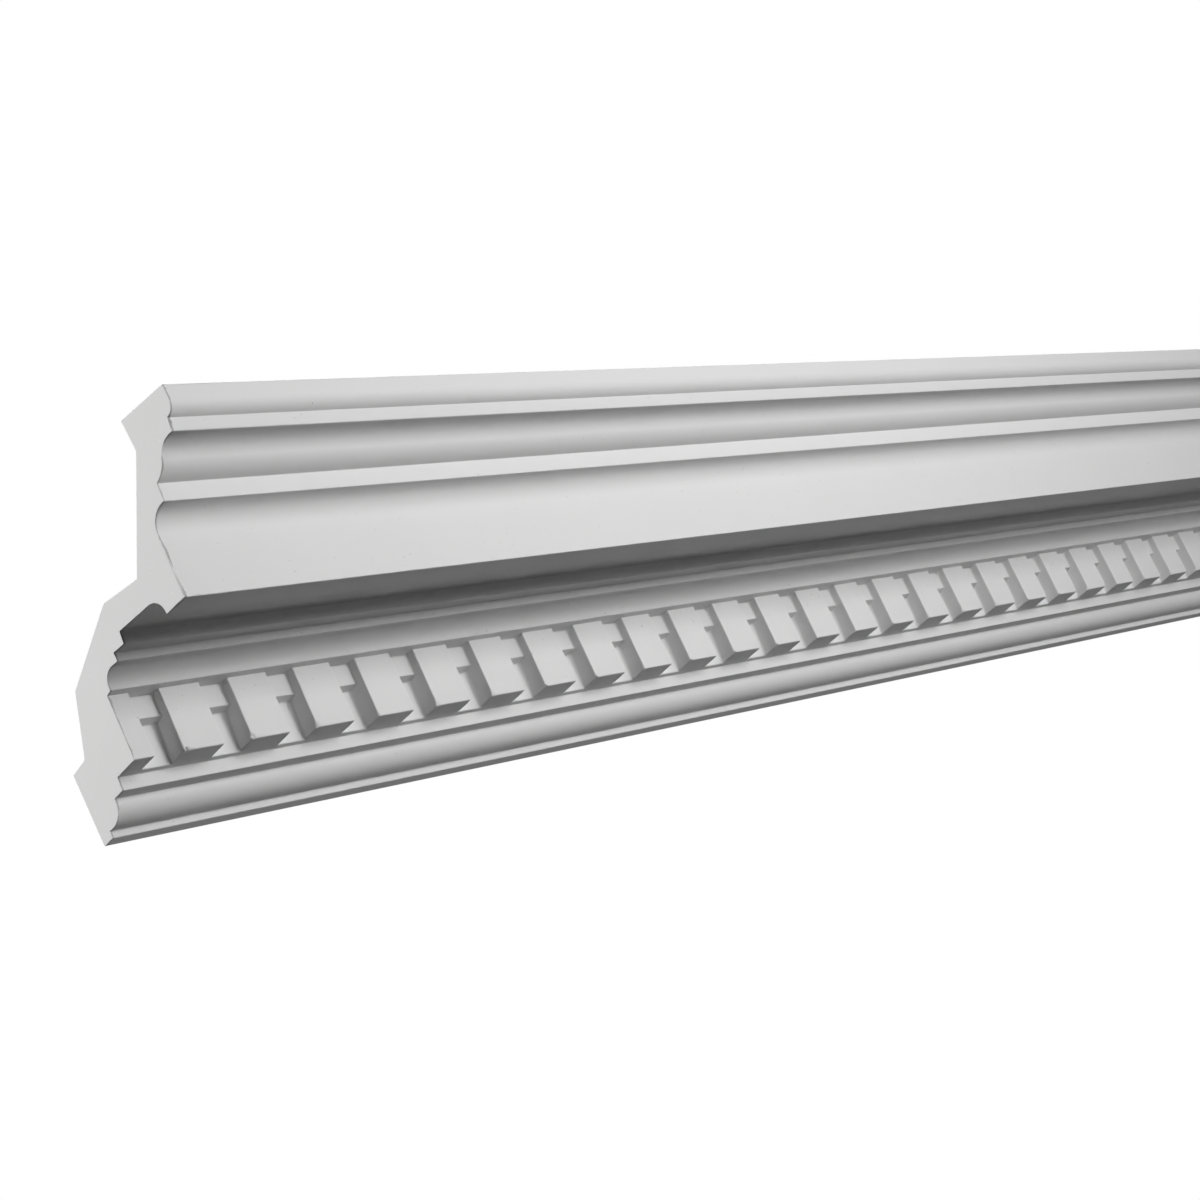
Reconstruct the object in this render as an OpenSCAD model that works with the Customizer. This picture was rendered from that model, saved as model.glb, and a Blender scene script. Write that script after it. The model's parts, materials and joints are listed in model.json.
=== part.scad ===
// Length of dentil cornice moulding, moulded in one piece and cut square at both ends.
// X runs along the moulding, -Y faces the room, +Y faces the wall and +Z faces the ceiling.
// The origin is the middle of the flat face that bears on the wall.

/* [Overall] */
// Length between the two square cuts
length = 1435.2; // [300:0.1:2000]
// Height from the foot to the ceiling
height = 190; // [170:1:240]
// Projection from the wall to the front of the nosing
projection = 183.5; // [160:0.5:230]
// Height of the flat face that bears on the wall
wall_seat_h = 45; // [30:1:48]
// Width of the flat face that bears on the ceiling
ceiling_seat_w = 38.5; // [30:0.5:50]

/* [Lower members, from the foot up] */
// Slope of the small undersides, in degrees, so that the piece leaves its mould
mould_draft = 7; // [0:1:10]
// Projection of the toe fillet
toe_w = 8.5; // [5:0.5:12]
// Height of the toe fillet
toe_h = 4.4; // [3:0.1:8]
// Radius of the quarter round over the toe
ovolo_r = 12.2; // [8:0.1:14]
// Ledge between the toe fillet and the quarter round
ovolo_ledge = 1.4; // [0.5:0.1:3]
// Short upright between the quarter round and the bed fillet
ovolo_neck = 1.2; // [0.5:0.1:3]
// How far the bed fillet stands out from the quarter round
bed_out = 7.9; // [4:0.1:12]
// Height of the bed fillet
bed_h = 8; // [5:0.5:12]
// Forward lean of the narrow fillets, in degrees
fillet_lean = 7; // [0:1:10]
// Radius of the cove over the dentils
small_cove_r = 9.3; // [7:0.1:11]
// How far that cove undercuts its lower edge, in degrees
small_cove_turn = 10; // [0:1:15]
// Flat at the top of the cove over the dentils
small_cove_flat = 4.9; // [3:0.1:7]
// Height of the fillet over that cove
step_h = 5.4; // [3:0.1:7]
// Width of the step between the two upper fillets
step_w = 9.9; // [6:0.1:14]
// Height of the fillet that carries the soffit
soffit_fillet_h = 7.4; // [4:0.1:10]

/* [Dentils] */
// Distance from one dentil to the next
dentil_pitch = 55.2; // [45:0.1:70]
// Width of one dentil
dentil_w = 32; // [20:0.5:40]
// Height of a dentil's face
dentil_h = 40.3; // [32:0.1:50]
// How far the dentils stand out from the bed fillet
dentil_out = 17.3; // [15:0.1:22]
// Forward lean of the dentil faces, in degrees
dentil_lean = 1.7; // [0:0.1:3]
// Depth of the recess between two dentils, behind their faces
recess_d = 13.5; // [10:0.5:14]
// Height of the bridge that crosses the top of each recess
bridge_h = 14.7; // [6:0.1:20]
// How far the bridge's face lies behind the dentil faces
bridge_set_back = 6.7; // [3:0.1:8]
// How far the cove over the dentils overhangs their faces
quirk_w = 4; // [2:0.5:6]

/* [Corona and drip] */
// Width of the flat under the corona, from its front edge to the drip
corona_w = 18.4; // [12:0.1:24]
// Radius of the groove behind the drip
drip_r = 9.4; // [6:0.1:12]
// Height of the upright between the groove and the flat under the corona
drip_lip = 1.3; // [0.5:0.1:3]
// Slope of the soffit and of the flat under the corona, in degrees
soffit_draft = 1.6; // [0:0.1:3]
// Radius of the cove over the corona's face
corona_cove_r = 13.4; // [8:0.1:15]
// Flat at the top of the cove over the corona's face
corona_cove_flat = 0.9; // [0.5:0.1:3]

/* [Upper members, from the ceiling down] */
// Upright part of the nosing under the ceiling
nosing_flat = 8.5; // [5:0.1:11]
// Radius of the nosing's rounded underside
nosing_r = 10; // [8:0.1:14]
// How far the nosing's underside turns, in degrees
nosing_turn = 65; // [50:1:75]
// Height of the fillet under the nosing
upper_fillet_h = 7.5; // [4:0.1:10]
// How far that fillet falls back over its height
upper_fillet_back = 1.9; // [0:0.1:3]
// Radius of the hollow at the top of the cyma
cyma_hollow_r = 14.2; // [10:0.1:15]
// Radius of the round at the foot of the cyma
cyma_round_r = 17; // [14:0.1:20]
// Slope of the cyma where the hollow meets the round, in degrees
cyma_slope = 65; // [55:1:68]
// Flat at the top of the cyma
cyma_flat = 2.3; // [1:0.1:4]
// Slope of the cyma where it meets the fillet below it, in degrees
cyma_foot_slope = 16; // [8:1:25]
// Height of the fillet over the corona
corona_fillet_h = 10.8; // [7:0.1:14]
// How far that fillet falls back over its height
corona_fillet_back = 0.8; // [0:0.1:2]

/* [Back] */
// Depth of the rebate over the wall face
rebate_d = 13.3; // [8:0.1:16]
// Rise of the rebate over its depth
rebate_rise = 3.2; // [0:0.1:5]
// Thickness of the moulding behind the cove over the dentils
cove_t = 25.7; // [16:0.1:30]
// Height of the bend in the back over the foot of that cove
bend_rise = 13.1; // [6:0.1:18]
// Thickness of the moulding over the inner end of the soffit
soffit_t = 18.9; // [12:0.1:24]
// How far behind the inner end of the soffit the back bends
soffit_bend = 2.6; // [0:0.1:5]
// Thickness of the moulding over the drip groove
drip_t = 16.5; // [12:0.1:24]
// Least thickness of the moulding behind the corona's cove
web_t = 14; // [10:0.5:16]
// Height of the back of the ceiling seat
ceiling_seat_h = 19.7; // [14:0.1:24]
// Radius of the soft corners along the back
back_r = 4; // [1:0.5:6]

/* [Hidden] */
arc_steps = 10;
corner_steps = 4;
cut_over = 10;

// The profile is drawn as [distance out from the wall, height over the foot].

// Points of an arc about c from angle a0 to angle a1
function arc(c, r, a0, a1, steps = arc_steps) =
    [for (i = [0 : steps]) c + r * turned(a0 + (a1 - a0) * i / steps)];
function turned(a) = [cos(a), sin(a)];
function unit(v) = v / norm(v);

// Points that round the corner at b, between its neighbours a and c, to radius r
function soft(a, b, c, r) =
    let (
        u = unit(a - b),
        v = unit(c - b),
        half = acos(u * v) / 2,
        reach = r / tan(half),
        middle = b + unit(u + v) * r / sin(half),
        first = atan2((b + u * reach - middle).y, (b + u * reach - middle).x),
        last = atan2((b + v * reach - middle).y, (b + v * reach - middle).x),
        swing = last - first,
        near = swing > 180 ? swing - 360 : swing < -180 ? swing + 360 : swing
    )
    arc(middle, r, first, first + near, corner_steps);

// Lower members, each worked out from the one below it
foot = [0, 0];
toe_low = [toe_w, toe_w * tan(mould_draft)];
toe_top = toe_low + toe_h * [tan(fillet_lean), 1];
ovolo_c = toe_top + [ovolo_ledge, ovolo_r];
neck_top = ovolo_c + [ovolo_r, ovolo_neck];
bed_low = neck_top + bed_out * [1, tan(mould_draft)];
bed_top = bed_low + bed_h * [tan(fillet_lean), 1];
dentil_low = bed_top + dentil_out * [1, tan(mould_draft)];
dentil_top = dentil_low + dentil_h * [tan(dentil_lean), 1];
quirk_edge = dentil_top + quirk_w * [1, tan(mould_draft)];
small_cove_c = quirk_edge + small_cove_r * turned(small_cove_turn);
small_cove_end = small_cove_c + [small_cove_flat, small_cove_r];
step_low = small_cove_end + [0, step_h];
step_out = step_low + step_w * [1, tan(soffit_draft)];
soffit_in = step_out + soffit_fillet_h * [tan(fillet_lean), 1];

// Upper members, each worked out from the one above it
crown = [projection, height];
nosing_c = crown - [nosing_r, nosing_flat];
nosing_low = nosing_c + nosing_r * turned(-nosing_turn);
upper_fillet_low = nosing_low - [upper_fillet_back, upper_fillet_h];
hollow_c = upper_fillet_low - [cyma_flat, cyma_hollow_r];
round_c = hollow_c + (cyma_hollow_r + cyma_round_r) * turned(90 + cyma_slope);
cyma_foot = round_c + cyma_round_r * turned(cyma_foot_slope - 90);
corona_fillet_low = cyma_foot - [corona_fillet_back, corona_fillet_h];
corona_cove_c = corona_fillet_low - [corona_cove_flat, corona_cove_r];
corona_out = corona_cove_c.x - corona_cove_r;

// Corona and drip, hung between the two groups
drip_x = corona_out - corona_w - drip_r;
drip_c = [drip_x, soffit_in.y + (drip_x - soffit_in.x) * tan(soffit_draft) - drip_r];
drip_edge = [drip_x + drip_r, drip_c.y - drip_lip];
corona_foot = drip_edge + corona_w * [1, tan(soffit_draft)];

// Back, which keeps its thickness behind each group of members
wall_top = [0, wall_seat_h];
rebate_in = [rebate_d, wall_seat_h + rebate_rise];
web_bend = [quirk_edge.x - cove_t, quirk_edge.y + bend_rise];
soffit_back = [soffit_in.x - soffit_bend, soffit_in.y + soffit_t];
drip_back = [drip_c.x, drip_c.y + drip_r + drip_t];
seat_low = [projection - ceiling_seat_w + 1, height - ceiling_seat_h];
seat_back = [projection - ceiling_seat_w, height];

// A line from the seat's foot that passes web_t behind the corona's cove, and where it
// comes down over the drip; it bends the back there when the moulding is made taller
to_cove = corona_cove_c - seat_low;
web_angle = atan2(to_cove.y, to_cove.x) - asin((corona_cove_r + web_t) / norm(to_cove));
web_foot = [drip_c.x, seat_low.y + (drip_c.x - seat_low.x) * tan(web_angle)];
web_bends = web_foot.y > drip_back.y;

// Distance out to the dentil face, at a height over the foot
function dentil_face(z) = dentil_low.x + (z - dentil_low.y) * tan(dentil_lean);

module profile() {
    front = concat(
        [foot, toe_low, toe_top],
        arc(ovolo_c, ovolo_r, -90, 0),
        [neck_top, bed_low, bed_top, dentil_low, dentil_top],
        arc(small_cove_c, small_cove_r, 180 + small_cove_turn, 90),
        [small_cove_end, step_low, step_out, soffit_in],
        arc(drip_c, drip_r, 90, 0),
        [drip_edge, corona_foot],
        arc(corona_cove_c, corona_cove_r, 180, 90),
        [corona_fillet_low],
        arc(round_c, cyma_round_r, cyma_foot_slope - 90, cyma_slope - 90),
        arc(hollow_c, cyma_hollow_r, 89 + cyma_slope, 90),
        [upper_fillet_low],
        arc(nosing_c, nosing_r, -nosing_turn, 0),
        [crown]
    );
    back = concat(
        [seat_back],
        soft(seat_back, seat_low, web_bends ? web_foot : drip_back, back_r),
        web_bends ? [web_foot] : [],
        [drip_back],
        soft(drip_back, soffit_back, web_bend, back_r),
        soft(soffit_back, web_bend, rebate_in, back_r),
        soft(web_bend, rebate_in, wall_top, back_r / 2),
        [wall_top]
    );
    polygon(concat(front, back));
}

// Space in front of the bridge, and the deeper recess below it
module gap_profile() {
    bridge_low = dentil_top.y - bridge_h;
    front = dentil_top.x + cut_over;
    bridge_y = dentil_face(bridge_low) - bridge_set_back;
    floor_low = dentil_face(bed_top.y) - recess_d;
    floor_top = dentil_face(bridge_low) - recess_d;
    top_y = dentil_face(dentil_top.y) - bridge_set_back;
    polygon([
        [floor_low, bed_top.y],
        [front, bed_top.y],
        [front, dentil_top.y - quirk_w],
        dentil_top,
        [top_y, dentil_top.y - bridge_set_back * tan(mould_draft)],
        [bridge_y, bridge_low],
        [floor_top, bridge_low - (recess_d - bridge_set_back) * tan(mould_draft)]
    ]);
}

// Sweeps a profile along X for a run of w, centred
module along(w) {
    rotate([90, 0, -90]) linear_extrude(height = w, center = true) children();
}

module cornice_length() {
    gaps = floor(length / dentil_pitch);
    color("gainsboro")
    translate([0, 0, -wall_seat_h / 2])
    difference() {
        along(length) profile();
        for (i = [0 : gaps]) {
            translate([(i + 0.5) * dentil_pitch - length / 2, 0, 0])
            along(dentil_pitch - dentil_w) gap_profile();
        }
    }
}

cornice_length();
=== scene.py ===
"""Looks of one length of dentil cornice moulding, cast in one piece of primed white foam.

The moulding hangs as it does in use: +X runs along it, -Y faces the room and +Z faces the ceiling.
Every size is in metres. The running mouldings and one bay of dentils are drawn as meshes, Geometry Nodes
repeat the bays along the length, and the two square cuts close the casting.
"""

import json
import logging
import math
from dataclasses import dataclass, field, replace
from enum import Enum
from typing import Iterable, Sequence

import bmesh
import bpy
from mathutils import Matrix, Vector

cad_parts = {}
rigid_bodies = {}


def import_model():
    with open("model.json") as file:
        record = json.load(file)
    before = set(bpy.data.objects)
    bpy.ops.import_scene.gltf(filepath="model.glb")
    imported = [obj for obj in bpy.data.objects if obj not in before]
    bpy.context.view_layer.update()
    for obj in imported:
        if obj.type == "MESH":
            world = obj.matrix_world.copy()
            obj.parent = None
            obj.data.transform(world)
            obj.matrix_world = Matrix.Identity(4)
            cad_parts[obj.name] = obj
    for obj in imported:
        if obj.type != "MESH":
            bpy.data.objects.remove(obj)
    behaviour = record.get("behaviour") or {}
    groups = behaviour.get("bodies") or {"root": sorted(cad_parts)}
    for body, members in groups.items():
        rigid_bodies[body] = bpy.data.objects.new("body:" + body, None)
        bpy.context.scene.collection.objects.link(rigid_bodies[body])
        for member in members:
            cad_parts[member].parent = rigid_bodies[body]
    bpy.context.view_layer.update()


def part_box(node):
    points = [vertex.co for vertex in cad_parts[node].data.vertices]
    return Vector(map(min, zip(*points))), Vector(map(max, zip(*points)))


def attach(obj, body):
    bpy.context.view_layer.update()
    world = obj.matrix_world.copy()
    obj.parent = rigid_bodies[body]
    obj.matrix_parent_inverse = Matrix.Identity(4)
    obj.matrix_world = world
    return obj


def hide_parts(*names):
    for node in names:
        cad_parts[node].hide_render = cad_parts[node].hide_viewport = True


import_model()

LOG = logging.getLogger("cornice")
NODE = "cornice_length"
PIECE = "cornice_moulding"
MM = 0.001
# The most of a straight side that one soft corner takes
CORNER_SHARE = 0.48
WHITE = (1.0, 1.0, 1.0, 1.0)

Point = tuple[float, float]


class Side(Enum):
    """The two square cuts of the moulding, by the sign of their X."""

    LEFT = -1
    RIGHT = 1


# ---------------------------------------------------------------------------
# Outlines
# ---------------------------------------------------------------------------


@dataclass(frozen=True)
class Corner:
    """A point of an outline.

    Attributes:
        out: distance from the wall.
        up: height over the foot of the moulding.
        radius: radius of the soft arris or fillet at the point, 0 for none.
    """

    out: float
    up: float
    radius: float = 0.0

    def moved(self, out: float, up: float, radius: float = 0.0) -> "Corner":
        """The corner that stands this far out and up from this one."""
        return Corner(self.out + out, self.up + up, radius)


def arc(centre: Corner, radius: float, start: float, end: float, steps: int) -> list[Corner]:
    """Points of an arc.

    Args:
        centre: centre of the arc.
        radius: its radius.
        start: angle of its first point in degrees.
        end: angle of its last point in degrees.
        steps: number of chords.

    Returns:
        The points, from start to end, without rounding.
    """
    turned = [math.radians(start + (end - start) * i / steps) for i in range(steps + 1)]
    return [Corner(centre.out + radius * math.cos(a), centre.up + radius * math.sin(a)) for a in turned]


def softened(corners: Sequence[Corner], steps: int = 3) -> list[Point]:
    """Rounds the corners of an open outline.

    Args:
        corners: the outline's points, each with its own radius.
        steps: number of chords in each rounded corner.

    Returns:
        The outline's points as (out, up).
    """
    points: list[Point] = []
    for i, corner in enumerate(corners):
        here = Vector((corner.out, corner.up))
        if corner.radius <= 0.0 or i in (0, len(corners) - 1):
            points.append((here.x, here.y))
            continue
        before = Vector((corners[i - 1].out, corners[i - 1].up)) - here
        after = Vector((corners[i + 1].out, corners[i + 1].up)) - here
        half = before.angle(after) / 2
        room = CORNER_SHARE * min(before.length, after.length)
        reach = min(corner.radius / math.tan(half), room)
        radius = reach * math.tan(half)
        middle = here + (before.normalized() + after.normalized()).normalized() * radius / math.sin(half)
        first = here + before.normalized() * reach - middle
        last = here + after.normalized() * reach - middle
        swing = first.angle_signed(last)
        for k in range(steps + 1):
            spoke = Matrix.Rotation(-swing * k / steps, 2) @ first
            points.append((middle.x + spoke.x, middle.y + spoke.y))
    return points


def smooth_step(value: float) -> float:
    """Eases a share from 0 to 1, held at both ends."""
    held = min(max(value, 0.0), 1.0)
    return held * held * (3.0 - 2.0 * held)


# ---------------------------------------------------------------------------
# The moulding's own sizes
# ---------------------------------------------------------------------------


@dataclass(frozen=True)
class Lengths:
    """Overall sizes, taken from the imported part."""

    length: float
    projection: float
    height: float
    foot_z: float

    @classmethod
    def of_frame(cls) -> "Lengths":
        """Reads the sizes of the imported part.

        Returns:
            The overall sizes.
        """
        low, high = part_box(NODE)
        return cls(high.x - low.x, -low.y, high.z - low.z, low.z)


@dataclass(frozen=True)
class CorniceProfile:
    """The running mouldings, drawn from the foot up the front and down the back."""

    size: Lengths
    draft: float = 7.0
    toe_w: float = 8.5 * MM
    toe_h: float = 4.4 * MM
    ovolo_r: float = 12.2 * MM
    ovolo_ledge: float = 1.4 * MM
    ovolo_neck: float = 1.2 * MM
    bed_out: float = 7.9 * MM
    bed_h: float = 8.0 * MM
    dentil_out: float = 17.3 * MM
    dentil_h: float = 40.3 * MM
    dentil_lean: float = 1.7
    quirk_w: float = 4.0 * MM
    small_cove_r: float = 9.3 * MM
    small_cove_turn: float = 10.0
    small_cove_flat: float = 4.9 * MM
    step_h: float = 5.4 * MM
    step_w: float = 9.9 * MM
    soffit_fillet_h: float = 7.4 * MM
    soffit_draft: float = 1.6
    corona_w: float = 18.4 * MM
    drip_r: float = 9.4 * MM
    drip_lip: float = 1.3 * MM
    corona_cove_r: float = 13.4 * MM
    corona_cove_flat: float = 0.9 * MM
    nosing_flat: float = 8.5 * MM
    nosing_r: float = 10.0 * MM
    nosing_turn: float = 65.0
    upper_fillet_h: float = 7.5 * MM
    upper_fillet_back: float = 1.9 * MM
    hollow_r: float = 14.2 * MM
    round_r: float = 17.0 * MM
    cyma_slope: float = 65.0
    cyma_flat: float = 2.3 * MM
    cyma_foot_slope: float = 16.0
    corona_fillet_h: float = 10.8 * MM
    corona_fillet_back: float = 0.8 * MM
    wall_seat_h: float = 45.0 * MM
    rebate_d: float = 13.3 * MM
    rebate_rise: float = 3.2 * MM
    cove_t: float = 25.7 * MM
    bend_rise: float = 13.1 * MM
    soffit_t: float = 18.9 * MM
    soffit_bend: float = 2.6 * MM
    drip_t: float = 16.5 * MM
    ceiling_seat_w: float = 38.5 * MM
    ceiling_seat_h: float = 19.7 * MM
    back_r: float = 4.0 * MM
    arris_r: float = 0.7 * MM
    inner_r: float = 0.55 * MM
    arc_steps: int = 14

    @property
    def slope(self) -> float:
        """Rise of the small undersides for each unit out."""
        return math.tan(math.radians(self.draft))

    @property
    def bed_low(self) -> Corner:
        """Lower arris of the bed fillet."""
        neck_out = self.toe_w + self.toe_h * self.slope + self.ovolo_ledge + self.ovolo_r
        neck_up = self.toe_w * self.slope + self.toe_h + self.ovolo_r + self.ovolo_neck
        return Corner(neck_out + self.bed_out, neck_up + self.bed_out * self.slope, self.arris_r)

    @property
    def bed_top(self) -> Corner:
        """Inner corner between the bed fillet and the undersides of the dentils."""
        return self.bed_low.moved(self.bed_h * self.slope, self.bed_h, self.inner_r)

    @property
    def dentil_low(self) -> Corner:
        """Lower front arris of the dentils."""
        return self.bed_top.moved(self.dentil_out, self.dentil_out * self.slope)

    @property
    def dentil_top(self) -> Corner:
        """Inner corner between the dentil faces and the overhang above them."""
        lean = math.tan(math.radians(self.dentil_lean))
        return self.dentil_low.moved(self.dentil_h * lean, self.dentil_h, self.inner_r)

    @property
    def quirk_edge(self) -> Corner:
        """Lower arris of the small cove, over the dentils."""
        return self.dentil_top.moved(self.quirk_w, self.quirk_w * self.slope, self.arris_r)

    def dentil_face(self, up: float) -> float:
        """Distance out to the dentil faces at a height over the foot."""
        return self.dentil_low.out + (up - self.dentil_low.up) * math.tan(math.radians(self.dentil_lean))

    def lower_members(self) -> list[Corner]:
        """Toe, quarter round and the bed fillet's lower arris, from the foot up.

        Returns:
            The corners, ending below the dentils.
        """
        foot = Corner(0.0, 0.0, self.arris_r)
        toe_low = foot.moved(self.toe_w, self.toe_w * self.slope, self.arris_r)
        toe_top = toe_low.moved(self.toe_h * self.slope, self.toe_h, self.inner_r)
        ovolo_c = toe_top.moved(self.ovolo_ledge, self.ovolo_r)
        neck_top = ovolo_c.moved(self.ovolo_r, self.ovolo_neck, self.inner_r)
        ovolo = arc(ovolo_c, self.ovolo_r, -90.0, 0.0, self.arc_steps)
        return [foot, toe_low, toe_top, *ovolo, neck_top, self.bed_low]

    def upper_members(self) -> list[Corner]:
        """Small cove, steps, soffit, drip, corona, cyma and nosing, from the dentils up.

        Returns:
            The corners, ending at the ceiling.
        """
        steps, inner, arris = self.arc_steps, self.inner_r, self.arris_r
        cove = arc(self.small_cove_centre, self.small_cove_r, 180.0 + self.small_cove_turn, 90.0, steps)
        drip_c, corona_foot = self.drip_centre, self.corona_foot
        drip = arc(drip_c, self.drip_r, 90.0, 0.0, steps)
        drip_edge = drip_c.moved(self.drip_r, -self.drip_lip, arris)
        crown = Corner(self.size.projection, self.size.height, arris)
        nosing_c = crown.moved(-self.nosing_r, -self.nosing_flat)
        nosing = arc(nosing_c, self.nosing_r, -self.nosing_turn, 0.0, steps)
        upper_low = self.upper_fillet_low
        hollow_c, round_c = self.cyma_centres
        foot_turn, slope_turn = self.cyma_foot_slope - 90.0, self.cyma_slope - 90.0
        cyma_round = arc(round_c, self.round_r, foot_turn, slope_turn, steps)
        cyma_hollow = arc(hollow_c, self.hollow_r, 89.0 + self.cyma_slope, 90.0, steps)
        corona_low = self.corona_fillet_low
        corona_c = self.corona_cove_centre
        corona_cove = arc(corona_c, self.corona_cove_r, 180.0, 90.0, steps)
        return [
            replace(cove[0], radius=arris),
            *cove[1:],
            *self.steps_over_cove,
            self.soffit_in,
            *drip,
            drip_edge,
            corona_foot,
            *corona_cove,
            corona_low,
            replace(cyma_round[0], radius=inner),
            *cyma_round[1:],
            *cyma_hollow,
            upper_low,
            replace(nosing[0], radius=inner),
            *nosing[1:],
            crown,
        ]

    @property
    def small_cove_centre(self) -> Corner:
        """Centre of the cove over the dentils."""
        turn, radius = math.radians(self.small_cove_turn), self.small_cove_r
        return self.quirk_edge.moved(radius * math.cos(turn), radius * math.sin(turn))

    @property
    def steps_over_cove(self) -> tuple[Corner, Corner, Corner]:
        """Lower arris, inner corner and outer arris of the step over that cove."""
        low = self.small_cove_centre.moved(self.small_cove_flat, self.small_cove_r, self.arris_r)
        inner = low.moved(0.0, self.step_h, self.inner_r)
        rise = self.step_w * math.tan(math.radians(self.soffit_draft))
        return low, inner, inner.moved(self.step_w, rise, self.arris_r)

    @property
    def soffit_in(self) -> Corner:
        """Inner end of the wide soffit."""
        out = self.soffit_fillet_h * self.slope
        return self.steps_over_cove[2].moved(out, self.soffit_fillet_h, self.inner_r)

    @property
    def nosing_low(self) -> Corner:
        """Inner corner between the nosing and the fillet under it."""
        turn = math.radians(self.nosing_turn)
        out = self.size.projection - self.nosing_r * (1.0 - math.cos(turn))
        up = self.size.height - self.nosing_flat - self.nosing_r * math.sin(turn)
        return Corner(out, up, self.inner_r)

    @property
    def upper_fillet_low(self) -> Corner:
        """Lower arris of the fillet under the nosing."""
        return self.nosing_low.moved(-self.upper_fillet_back, -self.upper_fillet_h, self.arris_r)

    @property
    def cyma_centres(self) -> tuple[Corner, Corner]:
        """Centres of the cyma's hollow and of its round."""
        hollow_c = self.upper_fillet_low.moved(-self.cyma_flat, -self.hollow_r)
        turn = math.radians(90.0 + self.cyma_slope)
        reach = self.hollow_r + self.round_r
        return hollow_c, hollow_c.moved(reach * math.cos(turn), reach * math.sin(turn))

    @property
    def corona_fillet_low(self) -> Corner:
        """Lower arris of the fillet over the corona."""
        round_c = self.cyma_centres[1]
        turn = math.radians(self.cyma_foot_slope - 90.0)
        foot = round_c.moved(self.round_r * math.cos(turn), self.round_r * math.sin(turn))
        return foot.moved(-self.corona_fillet_back, -self.corona_fillet_h, self.arris_r)

    @property
    def corona_cove_centre(self) -> Corner:
        """Centre of the cove over the corona's face."""
        return self.corona_fillet_low.moved(-self.corona_cove_flat, -self.corona_cove_r)

    @property
    def drip_centre(self) -> Corner:
        """Centre of the groove behind the drip."""
        out = self.corona_cove_centre.out - self.corona_cove_r - self.corona_w - self.drip_r
        rise = (out - self.soffit_in.out) * math.tan(math.radians(self.soffit_draft))
        return Corner(out, self.soffit_in.up + rise - self.drip_r)

    @property
    def corona_foot(self) -> Corner:
        """Lower front arris of the corona."""
        rise = self.corona_w * math.tan(math.radians(self.soffit_draft))
        return self.drip_centre.moved(self.drip_r + self.corona_w, rise - self.drip_lip, self.arris_r)

    def back_members(self) -> list[Corner]:
        """Ceiling face, back and wall face, from the ceiling down to the foot.

        Returns:
            The corners, ending just over the foot.
        """
        size, drip_c = self.size, self.drip_centre
        seat_back = Corner(size.projection - self.ceiling_seat_w, size.height, self.arris_r)
        seat_low = seat_back.moved(MM, -self.ceiling_seat_h, self.back_r)
        drip_back = drip_c.moved(0.0, self.drip_r + self.drip_t, self.arris_r)
        soffit_back = self.soffit_in.moved(-self.soffit_bend, self.soffit_t, self.back_r)
        web_bend = self.quirk_edge.moved(-self.cove_t, self.bend_rise, self.back_r)
        rebate_in = Corner(self.rebate_d, self.wall_seat_h + self.rebate_rise, self.back_r / 2)
        wall_top = Corner(0.0, self.wall_seat_h, self.arris_r)
        return [seat_back, seat_low, drip_back, soffit_back, web_bend, rebate_in, wall_top]

    def running_outline(self) -> list[Point]:
        """The outline from the overhang over the dentils, round the back, to the bed fillet's face.

        Returns:
            The rounded points of everything but the dentil band.
        """
        members = [*self.upper_members(), *self.back_members(), *self.lower_members()]
        return softened([self.dentil_top, *members, self.bed_top])[1:-1]


# ---------------------------------------------------------------------------
# One bay of dentils
# ---------------------------------------------------------------------------


@dataclass(frozen=True)
class Flaw:
    """A small lump or pit that the mould left on a dentil.

    Attributes:
        side: distance along X from the dentil's middle.
        up: height over the foot.
        reach: radius of the flaw.
        depth: how far it stands proud, below 0 for a pit.
    """

    side: float
    up: float
    reach: float
    depth: float

    def push(self, side: float, up: float) -> float:
        """How far the flaw pushes the face out at a place on it."""
        gap = math.hypot(side - self.side, up - self.up) / self.reach
        return self.depth * smooth_step(1.0 - gap)


@dataclass(frozen=True)
class BayWear:
    """How one bay came out of its mould.

    Attributes:
        right_fillet: radius between the left dentil's right side and the recess floor.
        left_fillet: radius at the foot between the recess floor and the right dentil's left side.
        left_fillet_top: the same radius under the bridge.
        right_blunt: extra rounding at the foot of the left dentil's right arris.
        left_blunt: extra rounding at the foot of the right dentil's left arris.
        right_flare: how much the left dentil's right side leans out at its foot.
        flaws: lumps and pits on the right dentil's left half.
    """

    right_fillet: float = 0.8 * MM
    left_fillet: float = 1.4 * MM
    left_fillet_top: float = 3.4 * MM
    right_blunt: float = 0.3 * MM
    left_blunt: float = 0.8 * MM
    right_flare: float = 0.0
    flaws: tuple[Flaw, ...] = ()


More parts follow.
